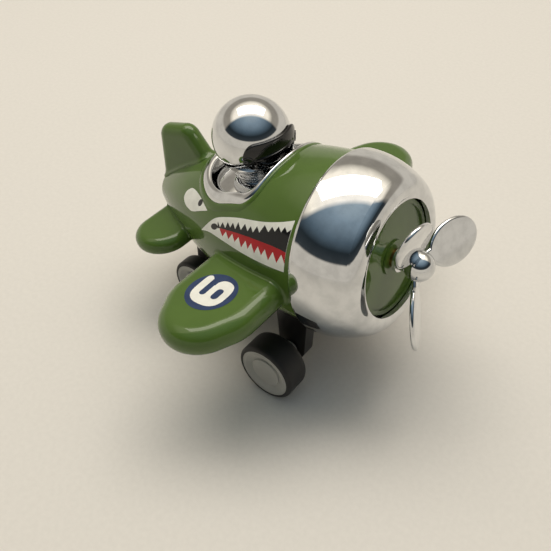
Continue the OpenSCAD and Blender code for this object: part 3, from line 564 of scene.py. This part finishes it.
def round_cockpit(name, profile, finish):
    """A ring or a bowl along the outline of the cockpit. profile is a closed line of (rim, out, height,
    on_skin, size): rim counts rim widths inward, out goes outward in millimetres, a height is counted
    from the skin of the fuselage or from the thrust line, and size draws the line in to the middle."""
    points = []
    for rim, out, height, on_skin, size in profile:
        for x, y, nx, ny in OUTLINE:
            width = RIM_W - (RIM_W - RIM_W_FRONT) * max(0.0, nx) ** 4
            x, y = x + nx * (out - rim * width), y + ny * (out - rim * width)
            x, y = COCKPIT_X + (x - COCKPIT_X) * size, y * size
            points.append(from_hull(x, y, skin_reach(x, y) + height if on_skin else height))
    faces = belt(len(profile), len(OUTLINE)) + lining(len(profile), len(OUTLINE))
    made = piece(name, points, faces, [finish])
    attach(made, "airframe")
    return made


def cockpit_bowl():
    """The bowl, whose rolled rim lies on the edge of the opening, with a cove at its floor."""
    profile = [(0, -0.25, -0.6, True, 1)]
    for phi in [math.pi * k / 16 for k in range(17)]:
        inward = (1 - math.cos(phi)) / 2
        profile.append((inward, 0, RIM_FOOT + RIM_RISE * math.sin(phi) - RIM_FALL * inward, True, 1))
    profile += [(1, -0.02, -1.2, True, 1), (1, -0.06, -2.2, True, 1),
                (1, -TUB_DRAFT, TUB_FLOOR + 1.2, False, 1)]
    for phi in (0.1, 0.4, 0.8, 1.2, 1.57):
        out = TUB_COVE * (math.cos(phi) - 1) - TUB_DRAFT
        profile.append((1, out, TUB_FLOOR + TUB_COVE * (1 - math.sin(phi)), False, 1))
    under = TUB_FLOOR - TUB_WALL
    profile += [(1, -1.2, TUB_FLOOR, False, TO_MIDDLE), (1, -1.2, under, False, TO_MIDDLE),
                (1, TUB_SIDE_WALL, under, False, 1), (1, TUB_SIDE_WALL, -1.6, True, 1)]
    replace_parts(round_cockpit("cockpit_bowl", profile, CHROME), "cockpit_tub")


def cockpit_deck():
    """The skin of the body between the straight front of the cockpit and the round opening of the
    solid shell."""
    front = [o for o in OUTLINE if o[2] > DECK_FACING]
    front.sort(key=lambda o: math.atan2(o[1], o[0] - COCKPIT_X))
    middle = Vector((COCKPIT_X, 0))
    steps = 10
    points, normals = [], []
    for k in range(steps + 1):
        for x, y, nx, ny in front:
            inner = Vector((x - nx * DECK_LAP, y - ny * DECK_LAP))
            ray = Vector((x, y)) - middle
            outer = middle + ray.normalized() * max(COCKPIT_R + DECK_LAP, ray.length + DECK_MIN_W)
            at = inner.lerp(outer, k / steps)
            z = skin_reach(at.x, at.y)
            points.append(from_hull(at.x, at.y, z + (DECK_EDGE_LIFT if k == steps else DECK_LIFT)))
            normals.append(skin_facing(at.x, at.y, z))
    made = piece("cockpit_deck", points, belt(steps + 1, len(front), False), [GREEN], normals)
    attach(made, "airframe")


cockpit_bowl()
round_cockpit("cockpit_collar", [(0, out, height, True, 1) for out, height in COLLAR], GREEN)
cockpit_deck()

# Pilot. Heights are counted from the thrust line, and the helmet's angles are in degrees
PILOT_X, HELMET_Z, HELMET_R, HELMET_SEAT_R, POLE_R = -27.0, 25.25, 10.45, 4.7, 0.1
BUST_SIDE = [(TUB_FLOOR, POLE_R), (TUB_FLOOR, 11.5), (12.6, 11.7), (13.0, 11.66), (13.35, 11.52),
             (13.65, 11.3)]
DOME_Z, DOME_MID_R, DOME_BEND, DOME_FROM_R, DOME_TO_R = 15.1, 4.6, 33, 11.0, 6.0
SHOULDER_W, SHOULDER_FLATTENING = 5.6, 0.1
LOW_COLLAR, HIGH_COLLAR = (15.3, 5.75, 0.32), (15.95, 5.25, 0.3)
GROOVE = [(15.62, 5.5), (15.7, 5.4)]
NECK = [(16.3, 5.0), (17.0, 4.5), (17.0, POLE_R)]
VISOR_T, VISOR_EDGE, VISOR_GAP = 0.95, 0.4, 0.02
VISOR_TURN, VISOR_DIP, VISOR_SPREAD, VISOR_END_R = -9, -6.5, 33, 20.5
BUTTON_SPREAD, BUTTON_DIP, BUTTON_R, BUTTON_T, BUTTON_EDGE = 46, -8, 1.3, 0.5, 0.18
DEGREE = math.radians(1) * HELMET_R


def on_pilot(height, ahead, beside):
    """A point beside the pilot's upright axis."""
    return from_hull(PILOT_X + ahead, beside, height)


def on_shoulders(height, ahead, beside):
    """The same, with the shoulders a little flatter in front."""
    broad = min(max((math.hypot(ahead, beside) - DOME_TO_R) / SHOULDER_W, 0), 1)
    share = 1 - SHOULDER_FLATTENING * broad if ahead > 0 else 1
    return on_pilot(height, ahead * share, beside)


def ring_side(height, radius, bead):
    """Outer side of a collar ring, from below."""
    return [(height + bead * math.sin(a), radius + bead * math.cos(a)) for a in (-1.2, -0.6, 0.0, 0.6, 1.2)]


def bust():
    """The plated bust, with a dome for its shoulders and two collar rings."""
    dome = [DOME_FROM_R + (DOME_TO_R - DOME_FROM_R) * k / 24 for k in range(25)]
    profile = BUST_SIDE + [(DOME_Z - (r - DOME_MID_R) ** 2 / DOME_BEND, r) for r in dome]
    profile += ring_side(*LOW_COLLAR) + GROOVE + ring_side(*HIGH_COLLAR) + NECK
    made = piece("pilot_shoulders", *spun(profile, on_shoulders), [CHROME])
    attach(made, "airframe")
    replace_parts(made, "pilot_bust")


def helmet():
    """The plated ball of the helmet, cut flat where it sits on the collar."""
    first = math.acos(-math.sqrt(HELMET_R ** 2 - HELMET_SEAT_R ** 2) / HELMET_R)
    turns = [first * (1 - k / 72) + 0.005 * k / 72 for k in range(73)]
    ball = [(HELMET_Z + HELMET_R * math.cos(a), HELMET_R * math.sin(a)) for a in turns]
    made = piece("pilot_ball", *spun([(ball[0][0], POLE_R)] + ball, on_pilot, count=144), [CHROME])
    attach(made, "airframe")
    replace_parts(made, "pilot_helmet")


def on_helmet(points, lift):
    """Bends a flat plate on to the helmet: u turns about it, v climbs, and its thickness stands out."""
    out = []
    for p in points:
        turn, rise, r = p.x / HELMET_R, p.y / HELMET_R, HELMET_R + lift + p.z
        out.append(on_pilot(HELMET_Z + r * math.sin(rise), r * math.cos(rise) * math.cos(turn),
                            r * math.cos(rise) * math.sin(turn)))
    return out


def visor():
    """The black visor, a band with round ends. It is set a little to the pilot's right, as the head
    is on the real toy."""
    row = disc_row([((s * VISOR_SPREAD + VISOR_TURN) * DEGREE, VISOR_DIP * DEGREE, VISOR_END_R * DEGREE)
                    for s in (-1, 1)])
    flat, faces = plate(finer(row, 40), VISOR_T, VISOR_EDGE, rings=14)
    made = piece("visor_band", on_helmet(flat, VISOR_T / 2 + VISOR_GAP), faces, [VISOR])
    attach(made, "airframe")
    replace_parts(made, "pilot_visor")


def buttons():
    """The flat buttons over the two pivots of the visor."""
    points, faces = [], []
    for s in (-1, 1):
        spot = ((s * BUTTON_SPREAD + VISOR_TURN) * DEGREE, BUTTON_DIP * DEGREE, BUTTON_R)
        flat, button = plate(disc_row([spot], 8.0), BUTTON_T, BUTTON_EDGE, rings=3)
        faces += [tuple(len(points) + v for v in face) for face in button]
        points += on_helmet(flat, VISOR_T)
    made = piece("visor_buttons", points, faces, [VISOR])
    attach(made, "airframe")
    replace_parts(made, "visor_pivots")


bust()
helmet()
visor()
buttons()

# Propeller, with the sizes of its solid
BALL_X, BALL_R, BORE_R, SOCKET_R = 21.9, 4.0, 1.02, 2.05
HUB_BACK, HUB_R, HUB_CHAMFER = 16.95, 2.6, 0.2
CAP_X, BLADE_ROOT_X = BALL_X + 0.3 * BALL_R, BALL_X - 0.3 * BALL_R
BLADE_MID, BLADE_LEN, BLADE_W, BLADE_T, BLADE_CROWN = 13.25, 16.5, 12.3, 1.2, 0.18
BLADE_CORNER_R, BLADE_EDGE = 0.6, 0.58
BLADE_CONE, BLADE_PITCH = math.radians(15.8), math.radians(17.4)
NECK_ROOT_R, NECK_TIP_R, NECK_OVERLAP = 1.6, 1.9, 1.8


def blade_outline(count=96):
    """An oval blade, as pairs of a small disc in its edge and outward direction."""
    row = []
    for k in range(count):
        u, v = BLADE_W / 2 * math.cos(math.tau * k / count), BLADE_LEN / 2 * math.sin(math.tau * k / count)
        nx, ny = u / (BLADE_W / 2) ** 2, v / (BLADE_LEN / 2) ** 2
        size = math.hypot(nx, ny)
        nx, ny = nx / size, ny / size
        row.append(((u - nx * BLADE_CORNER_R, v - ny * BLADE_CORNER_R, BLADE_CORNER_R), (nx, ny)))
    return row


def propeller():
    """Three oval blades with rounded edges and slightly crowned faces, on a hub with the rear part of
    the ball."""
    points, faces = [], []

    def join(more, its_faces):
        """Adds one closed body to the piece."""
        first = len(points)
        points.extend(more)
        faces.extend(tuple(first + v for v in face) for face in outward(more, its_faces, None))

    lean = Matrix.Rotation(-BLADE_CONE, 3, "Z") @ Matrix.Rotation(-BLADE_PITCH, 3, "Y")
    root = Vector((BLADE_ROOT_X, 0, 0))
    neck = disc_row([(0, HUB_R - BLADE_MID, NECK_ROOT_R), (0, NECK_OVERLAP - BLADE_LEN / 2, NECK_TIP_R)],
                    10.0)
    for third in range(3):
        about = Matrix.Rotation(math.tau * third / 3, 3, "X")
        for row, crown in ((blade_outline(), BLADE_CROWN), (neck, 0.0)):
            flat, its_faces = plate(row, BLADE_T, BLADE_EDGE, crown, 10, 6)
            join([from_hull(*(about @ (root + lean @ Vector((p.z, BLADE_MID + p.y, p.x))))) for p in flat],
                 its_faces)
    profile = [(HUB_BACK, BORE_R), (HUB_BACK, HUB_R - HUB_CHAMFER), (HUB_BACK + HUB_CHAMFER, HUB_R)]
    first = math.acos(-math.sqrt(BALL_R ** 2 - HUB_R ** 2) / BALL_R)
    last = math.acos((CAP_X - BALL_X) / BALL_R)
    for a in [first + (last - first) * k / 18 for k in range(19)]:
        profile.append((BALL_X + BALL_R * math.cos(a), BALL_R * math.sin(a)))
    profile += [(CAP_X, SOCKET_R), (BALL_X, BORE_R)]
    join(*spun(profile, from_hull, bored=True))
    made = piece("propeller_plated", points, faces, [CHROME])
    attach(made, "propeller_set")
    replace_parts(made, "propeller")


propeller()

# Printed marks. FLANK_R is the radius at which heights drawn for the flank are true
FILM_T, FLANK_R, FLANK_SPACING, WING_SPACING = 0.05, 20.0, 1.2, 2.0
ROUNDEL_R, ROUNDEL_STATION, ROUNDEL_HALF = 6.8, 16.5, 34.1


def inside(outline, u, v):
    """Whether a point lies inside a closed outline."""
    hit = False
    for (au, av), (bu, bv) in zip(outline, outline[1:] + outline[:1]):
        if (av > v) != (bv > v) and u < au + (v - av) * (bu - au) / (bv - av):
            hit = not hit
    return hit


def print_film(name, layers, lay, spacing):
    """A film of ink laid on a surface. layers are (outline, ink) from the lowest to the topmost, drawn
    flat in (u, v), and lay(u, v) gives the place and the outward direction on the surface. Corners
    lie at most one spacing apart."""
    corners, edges = [], []
    for outline, _ in layers:
        first = len(corners)
        for a, b in zip(outline, outline[1:] + outline[:1]):
            parts = math.ceil(math.dist(a, b) / spacing)
            corners += [Vector(a).lerp(Vector(b), k / parts) for k in range(parts)]
        count = len(corners) - first
        edges += [(first + i, first + (i + 1) % count) for i in range(count)]
    low_u, low_v = min(c.x for c in corners), min(c.y for c in corners)
    high_u, high_v = max(c.x for c in corners), max(c.y for c in corners)
    for i in range(int((high_u - low_u) / spacing) + 1):
        for j in range(int((high_v - low_v) / spacing) + 1):
            corners.append(Vector((low_u + (i + 0.5) * spacing, low_v + (j + 0.5) * spacing)))
    flat, _, tris, _, _, _ = delaunay_2d_cdt(corners, edges, [], 0, 1e-5)
    finishes = list(dict.fromkeys(ink for _, ink in layers))
    faces, inks = [], []
    for tri in tris:
        u = sum(flat[k].x for k in tri) / 3
        v = sum(flat[k].y for k in tri) / 3
        hits = [ink for outline, ink in layers if inside(outline, u, v)]
        if hits:
            faces.append(tuple(tri))
            inks.append(finishes.index(hits[-1]))
    used = sorted({k for face in faces for k in face})
    number = {k: i for i, k in enumerate(used)}
    points, normals = [], []
    for k in used:
        place, facing = lay(flat[k].x, flat[k].y)
        points.append(place + facing * FILM_T * MM)
        normals.append(facing)
    faces = [tuple(number[k] for k in face) for face in faces]
    made = piece(name, points, faces, finishes, normals, inks)
    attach(made, "airframe")


def smooth_line(points, closed=True, parts=6):
    """A soft curve through points."""
    out = []
    count = len(points)
    for i in range(count if closed else count - 1):
        near = [i + k for k in (-1, 0, 1, 2)]
        p0, p1, p2, p3 = (points[k % count if closed else min(max(k, 0), count - 1)] for k in near)
        for t in [k / parts for k in range(parts)]:
            out.append(tuple(0.5 * (2 * b + (c - a) * t + (2 * a - 5 * b + 4 * c - d) * t * t
                                    + (3 * b - a - 3 * c + d) * t ** 3)
                             for a, b, c, d in zip(p0, p1, p2, p3)))
    if not closed:
        out.append(tuple(points[-1]))
    return out


def oval(u, v, wide, high, lean_u=0.0, lean_v=0.0, count=24):
    """A closed oval about (u, v), which may lean."""
    turns = [math.tau * k / count for k in range(count)]
    return [(u + wide * math.cos(a) + lean_u * math.sin(a), v + high * math.sin(a) + lean_v * math.cos(a))
            for a in turns]


def bar(u0, u1, v0, v1, r, parts=8):
    """A rounded bar."""
    corners = ((u1 - r, v0 + r, -90), (u1 - r, v1 - r, 0), (u0 + r, v1 - r, 90), (u0 + r, v0 + r, 180))
    out = []
    for cu, cv, first in corners:
        for k in range(parts + 1):
            a = math.radians(first + 90 * k / parts)
            out.append((cu + r * math.cos(a), cv + r * math.sin(a)))
    return out


def flank(points):
    """Turns (station, degrees above the thrust line) into flat drawing units."""
    return [(x, math.radians(a) * FLANK_R) for x, a in points]


def on_flank(side):
    """Lays a drawing on the fuselage: u is the station, v the height round the flank."""
    def lay(u, v):
        r = hull_radius(u)
        y, z = side * r * math.cos(v / FLANK_R), r * math.sin(v / FLANK_R)
        return from_hull(u, y, z), skin_facing(u, y, z)
    return lay


def on_wing(side):
    """Lays a drawing on the wing: u runs to the left, v to the rear, about the roundel's middle."""
    def lay(u, v):
        place = from_hull(-ROUNDEL_STATION - v, side * ROUNDEL_HALF + u, WING_Z + WING_T / 2)
        return place, turned(0, 0, 1)
    return lay


def mouth_layers():
    """The mouth: a white lip all round, a dark throat, a red tongue side, two rows of teeth, and a dot
    in its corner."""
    lip_top = flank([(-34.1, 12.9), (-31.0, 21.6), (-28.4, 27.6), (-26.0, 30.7), (-22.4, 33.3),
                     (-18.0, 35.6), (-12.7, 37.3), (-9.5, 38.6), (-6.5, 40.4), (-3.7, 42.5), (-1.1, 44.9)])
    lip_low = flank([(-1.6, 13.0), (-5.9, 12.8), (-11.0, 13.0), (-16.5, 13.7), (-22.6, 15.0), (-26.6, 15.7),
                     (-29.6, 15.9), (-32.0, 14.9), (-34.1, 12.9)])
    mouth = smooth_line(lip_top, False, 4) + smooth_line(lip_low, False, 4)[:-1]
    upper_gums = flank([(-26.4, 27.5), (-24.3, 28.4), (-22.3, 30.1), (-20.3, 31.0), (-18.4, 32.7),
                        (-15.9, 33.3), (-13.8, 33.2), (-11.7, 34.6), (-9.4, 36.8), (-7.0, 37.3),
                        (-5.1, 38.7), (-3.3, 39.6)])
    upper_tips = flank([(-25.2, 24.2), (-23.0, 25.2), (-21.1, 27.0), (-19.1, 27.4), (-17.0, 28.4),
                        (-14.6, 29.4), (-12.7, 29.9), (-10.6, 31.2), (-7.8, 33.4), (-5.9, 35.0),
                        (-4.0, 35.8), (-2.3, 37.0)])
    lower_tips = flank([(-25.1, 22.0), (-22.6, 23.0), (-20.0, 23.5), (-17.5, 23.3), (-14.8, 23.0),
                        (-12.8, 22.9), (-10.4, 22.8), (-8.0, 22.7), (-5.4, 23.1), (-2.7, 23.3)])
    lower_gums = flank([(-23.9, 18.2), (-21.4, 18.6), (-18.9, 18.8), (-16.3, 17.2), (-13.9, 18.2),
                        (-11.5, 17.3), (-9.1, 17.9), (-6.7, 16.6), (-4.0, 17.1), (-1.5, 18.6)])
    tongue_top = flank([(-1.45, 25.4), (-3.3, 26.0), (-6.4, 26.4), (-9.8, 26.3), (-13.3, 26.2), (-17.0, 25.7),
                        (-20.9, 24.8), (-25.4, 23.2)])
    upper_teeth = [point for tooth in zip(upper_gums, upper_tips) for point in tooth]
    throat = upper_teeth + flank([(-1.3, 39.4)]) + tongue_top + flank([(-26.3, 22.2)])
    lower_teeth = [point for tooth in zip(lower_gums[::-1], lower_tips[::-1]) for point in tooth]
    tongue = tongue_top[::-1] + flank([(-1.5, 20.5)]) + lower_teeth
    corner_dot = oval(-27.75, math.radians(22.3) * FLANK_R, 1.45, 0.85, lean_v=0.35)
    return [(mouth, WHITE_INK), (throat, BLACK_INK), (tongue, RED_INK), (corner_dot, BLACK_INK)]


def eye_layers():
    """The eye: white, with a small leaning pupil."""
    eye = flank([(-36.0, 39.4), (-38.6, 42.9), (-40.6, 44.7), (-42.2, 44.8), (-44.0, 41.6), (-44.9, 36.8),
                 (-44.9, 31.6), (-43.3, 26.6), (-40.4, 24.4), (-38.2, 25.4), (-35.4, 28.3), (-31.7, 31.5)])
    pupil = oval(-35.75, math.radians(35.2) * FLANK_R, 1.0, 1.15, lean_u=0.35)
    return [(smooth_line(eye, False, 5), WHITE_INK), (pupil, BLACK_INK)]


def roundel_layers():
    """The roundel: a plain block numeral on a navy disc, read from the front of the toy."""
    numeral = smooth_line([(4.9, 3.7), (4.6, 4.6), (3.6, 4.95), (0.6, 5.0), (-2.0, 4.8), (-3.7, 3.9),
                           (-4.7, 2.3), (-5.0, 0.2), (-4.8, -2.2), (-3.8, -4.0), (-2.0, -4.9), (0.4, -5.05),
                           (2.6, -4.8), (4.2, -3.9), (4.95, -2.2), (4.75, -0.4), (3.6, 0.65), (2.2, 0.85),
                           (3.4, 2.0), (4.2, 2.8)], True, 5)
    upper_gap = bar(-2.1, 5.6, 0.95, 2.75, 0.88)
    lower_gap = bar(-2.0, 1.95, -3.0, -0.95, 1.0)
    return [(oval(0, 0, ROUNDEL_R, ROUNDEL_R, count=96), NAVY_INK), (numeral, WHITE_INK),
            (upper_gap, NAVY_INK), (lower_gap, NAVY_INK)]


for side, word in ((-1, "right"), (1, "left")):
    print_film("shark_mouth_" + word, mouth_layers(), on_flank(side), FLANK_SPACING)
    print_film("shark_eye_" + word, eye_layers(), on_flank(side), FLANK_SPACING)
for side, word in ((-1, "right"), (1, "left")):
    print_film("roundel_" + word, roundel_layers(), on_wing(side), WING_SPACING)

# Studio. Its sizes and places are in metres
BACKDROP, ROOM_LEVEL = "#BAB4A9", 1.35
FLOOR_HALF, FLOOR_LEVEL, PAPER_TO, BACKDROP_FROM = 9, -0.00002, 0.2, 0.9
PAPER_TONES = [(0.3, "#D6D2CB"), (0.7, "#DAD6CF")]
NEAR_SIDE = (0.62, -0.784, 0.0)
LAMP_PLACE, LAMP_SIZE, LAMP_POWER, LAMP_COLOUR = Vector((-0.16, 0.2, 0.75)), (0.85, 0.36), 4.0, "#FFF8EE"
FAR_WALL = [(0.0, BACKDROP), (0.24, BACKDROP), (0.34, "#8C867C"), (0.58, "#8E887D"), (0.74, "#FFF5E2"),
            (1.0, "#FFF8EC")]
NEAR_WALL = [(0.0, BACKDROP), (0.24, BACKDROP), (0.28, "#33383B"), (0.48, "#22292D"), (0.66, "#4C5B66"),
             (0.9, "#7A8B97"), (1.0, "#93A2AB")]


def sweep():
    """A pale paper sweep under the toy, which runs out into the backdrop."""
    signs = ((-1, -1), (1, -1), (1, 1), (-1, 1))
    made = piece("studio_floor", [Vector((x * FLOOR_HALF, y * FLOOR_HALF, FLOOR_LEVEL)) for x, y in signs],
                 [(0, 1, 2, 3)], [], [Vector((0, 0, 1))] * 4)
    paper, tree, shader, where = start("studio_paper", Roughness=0.75, IOR=1.45)
    fibre = add(tree, "ShaderNodeTexNoise", {"Vector": where, "Scale": repeats(1.429), "Detail": 3.0})
    tone = add(tree, "ShaderNodeValToRGB", {"Fac": fibre.outputs["Fac"]}, PAPER_TONES)
    fill(tree, shader, {"Base Color": tone.outputs["Color"]})
    away = add(tree, "ShaderNodeVectorMath", {0: where}, operation="LENGTH")
    share = add(tree, "ShaderNodeMapRange",
                {"Value": away.outputs["Value"], "From Min": PAPER_TO, "From Max": BACKDROP_FROM},
                interpolation_type="SMOOTHSTEP")
    glow = add(tree, "ShaderNodeEmission", {"Color": srgb(BACKDROP), "Strength": ROOM_LEVEL})
    mixed = add(tree, "ShaderNodeMixShader",
                {0: share.outputs["Result"], 1: shader.outputs["BSDF"], 2: glow.outputs["Emission"]})
    fill(tree, tree.nodes["Material Output"], {"Surface": mixed.outputs["Shader"]})
    made.data.materials.append(paper)


def surroundings():
    """The studio round the toy. A pale backdrop rises all round it, then the far half is dim up to a
    bright warm ceiling and the near half is dark and bluish, so that the plating shows bands."""
    world = bpy.data.worlds.new("studio")
    world.use_nodes = True
    tree = world.node_tree
    where = add(tree, "ShaderNodeTexCoord").outputs["Generated"]
    height = add(tree, "ShaderNodeSeparateXYZ", {"Vector": where}).outputs["Z"]
    far = add(tree, "ShaderNodeValToRGB", {"Fac": height}, FAR_WALL)
    near = add(tree, "ShaderNodeValToRGB", {"Fac": height}, NEAR_WALL)
    side = add(tree, "ShaderNodeVectorMath", {0: where, 1: NEAR_SIDE}, operation="DOT_PRODUCT")
    share = add(tree, "ShaderNodeMapRange",
                {"Value": side.outputs["Value"], "From Min": -0.03, "From Max": 0.08})
    tones = {0: share.outputs["Result"], 6: far.outputs["Color"], 7: near.outputs["Color"]}
    room = add(tree, "ShaderNodeMix", tones, data_type="RGBA")
    fill(tree, tree.nodes["Background"], {"Color": room.outputs[2], "Strength": ROOM_LEVEL})
    bpy.context.scene.world = world


def softbox():
    """A long soft lamp over the toy, on the side away from the camera, aimed at the floor under it."""
    data = bpy.data.lights.new("softbox_overhead", "AREA")
    data.shape = "RECTANGLE"
    data.size, data.size_y = LAMP_SIZE
    data.energy = LAMP_POWER
    data.color = srgb(LAMP_COLOUR)[:3]
    made = bpy.data.objects.new("softbox_overhead", data)
    made.location = LAMP_PLACE
    made.rotation_euler = (-LAMP_PLACE).to_track_quat("-Z", "Y").to_euler()
    bpy.context.scene.collection.objects.link(made)


# Camera, as fitted to the photograph
CAMERA_PLACE = Vector((88.78, -118.84, 162.61))
CAMERA_RIGHT = Vector((0.7869, 0.617, -0.0054))
CAMERA_UP = Vector((-0.4318, 0.556, 0.7098))
CAMERA_BACK = Vector((0.4405, -0.557, 0.7041))
FOCAL_LENGTH, SENSOR_WIDTH = 46.0, 36.0


def camera():
    """The camera at the photograph's viewing angle."""
    lens = bpy.data.cameras.new("camera")
    lens.lens = FOCAL_LENGTH
    lens.sensor_width = SENSOR_WIDTH
    lens.clip_start = 5 * MM
    viewer = bpy.data.objects.new("camera", lens)
    turn = Matrix((CAMERA_RIGHT, CAMERA_UP, CAMERA_BACK)).transposed()
    viewer.matrix_world = Matrix.Translation(CAMERA_PLACE * MM) @ turn.to_4x4()
    bpy.context.scene.collection.objects.link(viewer)
    bpy.context.scene.camera = viewer


sweep()
surroundings()
softbox()
camera()
bpy.context.scene.view_settings.view_transform = "Standard"
